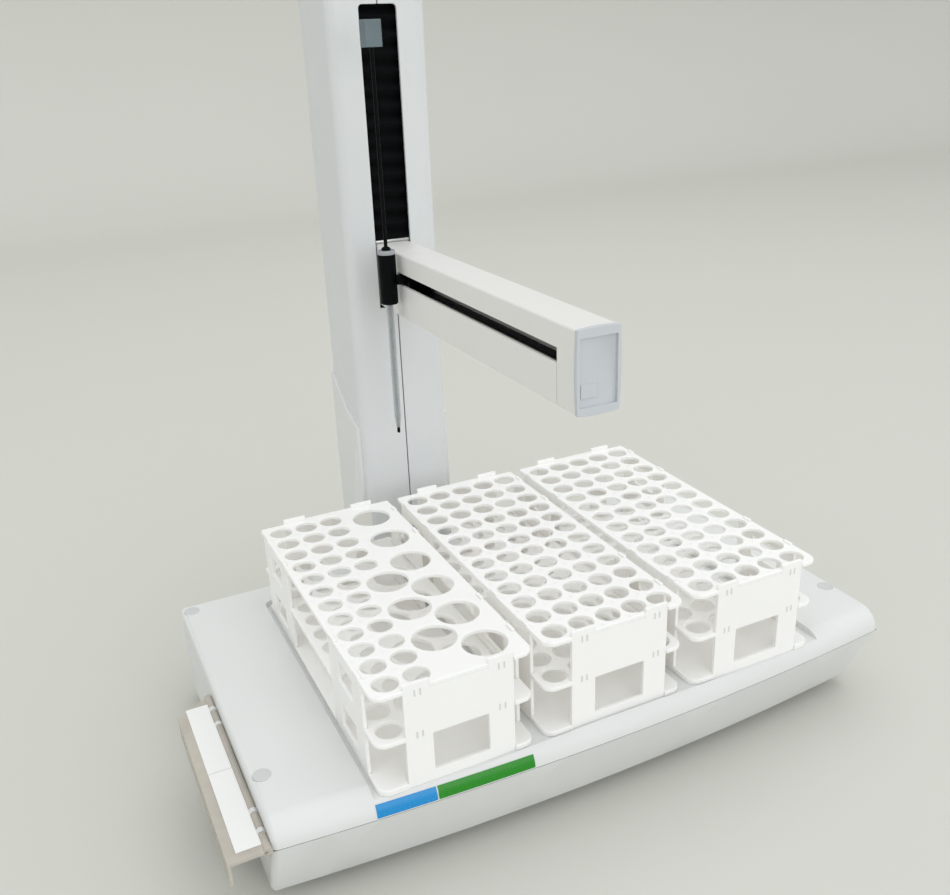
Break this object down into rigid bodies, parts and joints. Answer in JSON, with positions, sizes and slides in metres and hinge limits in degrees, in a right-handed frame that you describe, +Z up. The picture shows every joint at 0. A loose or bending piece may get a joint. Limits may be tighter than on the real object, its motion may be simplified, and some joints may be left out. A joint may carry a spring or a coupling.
{
  "type": "laboratory autosampler",
  "caption": "Bench autosampler with a low base holding lift-out tube racks, a travelling tower, a rising arm and a sliding sample probe.",
  "frame": {"origin": "centre of the bounding box at the bench plane under the feet", "axes": "+X to the right along the front edge, +Y to the back where the tower stands, +Z up"},
  "size_m": [0.511, 0.387, 0.57],
  "materials": {
    "deck_cover": "satin",
    "pan": "satin",
    "rack_plastic": "matte, slightly translucent polypropylene",
    "rubber": "matte",
    "plug_plastic": "matte",
    "rod_steel": "ground",
    "bracket": "milled",
    "belt": "matte",
    "motor": "satin",
    "socket": "matte",
    "tower_paint": "satin",
    "shroud": "satin",
    "casting": "cast and milled",
    "bellows": "matte",
    "arm_paint": "satin",
    "arm_root": "satin",
    "end_cap": "matte",
    "shutter": "matte",
    "black_plastic": "satin",
    "ring": "satin",
    "sheath": "satin",
    "clear_block": "clear plastic",
    "pump_plastic": "matte",
    "flap": "smoky clear plastic"
  },
  "bodies": {
    "base": {"base_pan": "pan", "top_cover": "deck_cover", "feet": "rubber", "screw_plugs": "plug_plastic", "x_guide_rods": "rod_steel", "x_rail_brackets": "bracket", "x_belt": "belt", "x_motor": "motor", "rear_fittings": "socket", "pump_bed": "pump_plastic"},
    "x_drive_pulley": {"x_drive_pulley": "bracket"},
    "x_idler_pulley": {"x_idler_pulley": "bracket"},
    "power_switch": {"power_switch": "black_plastic"},
    "pump_cover": {"pump_cover": "flap"},
    "pump_rotor": {"pump_rotor": "pump_plastic"},
    "pump_roller_1": {"pump_roller_1": "rod_steel"},
    "pump_roller_2": {"pump_roller_2": "rod_steel"},
    "pump_roller_3": {"pump_roller_3": "rod_steel"},
    "rack_left": {"rack_top_left": "rack_plastic", "rack_shelf_left": "rack_plastic", "rack_bottom_left": "rack_plastic", "rack_ends_left": "rack_plastic", "rack_sides_left": "rack_plastic"},
    "rack_middle": {"rack_top_middle": "rack_plastic", "rack_shelf_middle": "rack_plastic", "rack_bottom_middle": "rack_plastic", "rack_ends_middle": "rack_plastic", "rack_sides_middle": "rack_plastic"},
    "rack_right": {"rack_top_right": "rack_plastic", "rack_shelf_right": "rack_plastic", "rack_bottom_right": "rack_plastic", "rack_ends_right": "rack_plastic", "rack_sides_right": "rack_plastic"},
    "tower": {"tower_left_shell": "tower_paint", "tower_right_shell": "tower_paint", "tower_cap": "tower_paint", "tower_shroud": "shroud", "tower_foot": "casting", "z_guide_rods": "rod_steel", "z_motor": "motor", "bellows": "bellows"},
    "z_lead_screw": {"z_lead_screw": "rod_steel"},
    "arm": {"arm_root": "arm_root", "arm_cover": "arm_paint", "arm_side_cover": "arm_paint", "arm_end_cap": "end_cap", "slot_shutter": "shutter", "y_guide_rod": "rod_steel", "y_belt": "belt", "y_motor": "motor"},
    "y_drive_pulley": {"y_drive_pulley": "bracket"},
    "y_idler_pulley": {"y_idler_pulley": "bracket"},
    "probe_carriage": {"probe_carriage": "black_plastic", "probe_holder": "black_plastic", "holder_ring": "ring", "holder_nut": "black_plastic"},
    "probe": {"probe_sheath": "sheath", "probe_rod": "black_plastic", "probe_block": "clear_block", "probe_tip": "black_plastic"}
  },
  "joints": [
    {"name": "tower_travel", "type": "slide", "parent": "base", "child": "tower", "axis": [1, 0, 0], "range_m": [-0.105, 0.21]},
    {"name": "x_drive_pulley_turn", "type": "hinge", "parent": "base", "child": "x_drive_pulley", "pos_m": [0.219, 0.046, 0.0375], "axis": [0, 1, 0], "continuous": true},
    {"name": "x_idler_pulley_turn", "type": "hinge", "parent": "base", "child": "x_idler_pulley", "pos_m": [-0.163, 0.046, 0.0375], "axis": [0, 1, 0], "continuous": true},
    {"name": "arm_lift", "type": "slide", "parent": "tower", "child": "arm", "axis": [0, 0, 1], "range_m": [0, 0.14], "deforming": ["bellows"]},
    {"name": "z_screw_turn", "type": "hinge", "parent": "tower", "child": "z_lead_screw", "pos_m": [-0.017, 0.161, 0.25], "axis": [0, 0, 1], "continuous": true},
    {"name": "probe_travel", "type": "slide", "parent": "arm", "child": "probe_carriage", "axis": [0, -1, 0], "range_m": [0, 0.229]},
    {"name": "y_drive_pulley_turn", "type": "hinge", "parent": "arm", "child": "y_drive_pulley", "pos_m": [-0.0097, 0.135, 0.317], "axis": [1, 0, 0], "continuous": true},
    {"name": "y_idler_pulley_turn", "type": "hinge", "parent": "arm", "child": "y_idler_pulley", "pos_m": [-0.0097, -0.1785, 0.317], "axis": [1, 0, 0], "continuous": true},
    {"name": "probe_drop", "type": "slide", "parent": "probe_carriage", "child": "probe", "axis": [0, 0, -1], "range_m": [0, 0.057]},
    {"name": "pump_rotor_turn", "type": "hinge", "parent": "base", "child": "pump_rotor", "pos_m": [-0.2365, -0.089, 0.04], "axis": [1, 0, 0], "continuous": true},
    {"name": "pump_cover_hinge", "type": "hinge", "parent": "base", "child": "pump_cover", "pos_m": [-0.2313, -0.093, 0.0688], "axis": [0, 1, 0], "range_deg": [0, 95]},
    {"name": "power_switch_rock", "type": "hinge", "parent": "base", "child": "power_switch", "pos_m": [-0.2025, 0.099, 0.038], "axis": [1, 0, 0], "range_deg": [-10, 0]},
    {"name": "pump_roller_1_turn", "type": "hinge", "parent": "pump_rotor", "child": "pump_roller_1", "pos_m": [-0.2385, -0.089, 0.05], "axis": [1, 0, 0], "continuous": true},
    {"name": "pump_roller_2_turn", "type": "hinge", "parent": "pump_rotor", "child": "pump_roller_2", "pos_m": [-0.2385, -0.09766, 0.035], "axis": [1, 0, 0], "continuous": true},
    {"name": "pump_roller_3_turn", "type": "hinge", "parent": "pump_rotor", "child": "pump_roller_3", "pos_m": [-0.2385, -0.08034, 0.035], "axis": [1, 0, 0], "continuous": true},
    {"name": "rack_left_lift", "type": "slide", "parent": "base", "child": "rack_left", "axis": [0, 0, 1], "range_m": [0, 0.05]},
    {"name": "rack_middle_lift", "type": "slide", "parent": "base", "child": "rack_middle", "axis": [0, 0, 1], "range_m": [0, 0.05]},
    {"name": "rack_right_lift", "type": "slide", "parent": "base", "child": "rack_right", "axis": [0, 0, 1], "range_m": [0, 0.05]}
  ],
  "couplings": [
    {"joint": "x_drive_pulley_turn", "follows": "tower_travel", "rad_per_m": 125},
    {"joint": "x_idler_pulley_turn", "follows": "tower_travel", "rad_per_m": 125},
    {"joint": "z_screw_turn", "follows": "arm_lift", "rad_per_m": 785.4},
    {"joint": "y_drive_pulley_turn", "follows": "probe_travel", "rad_per_m": 166.67},
    {"joint": "y_idler_pulley_turn", "follows": "probe_travel", "rad_per_m": 166.67},
    {"joint": "pump_roller_1_turn", "follows": "pump_rotor_turn", "ratio": -3.2222},
    {"joint": "pump_roller_2_turn", "follows": "pump_rotor_turn", "ratio": -3.2222},
    {"joint": "pump_roller_3_turn", "follows": "pump_rotor_turn", "ratio": -3.2222}
  ]
}
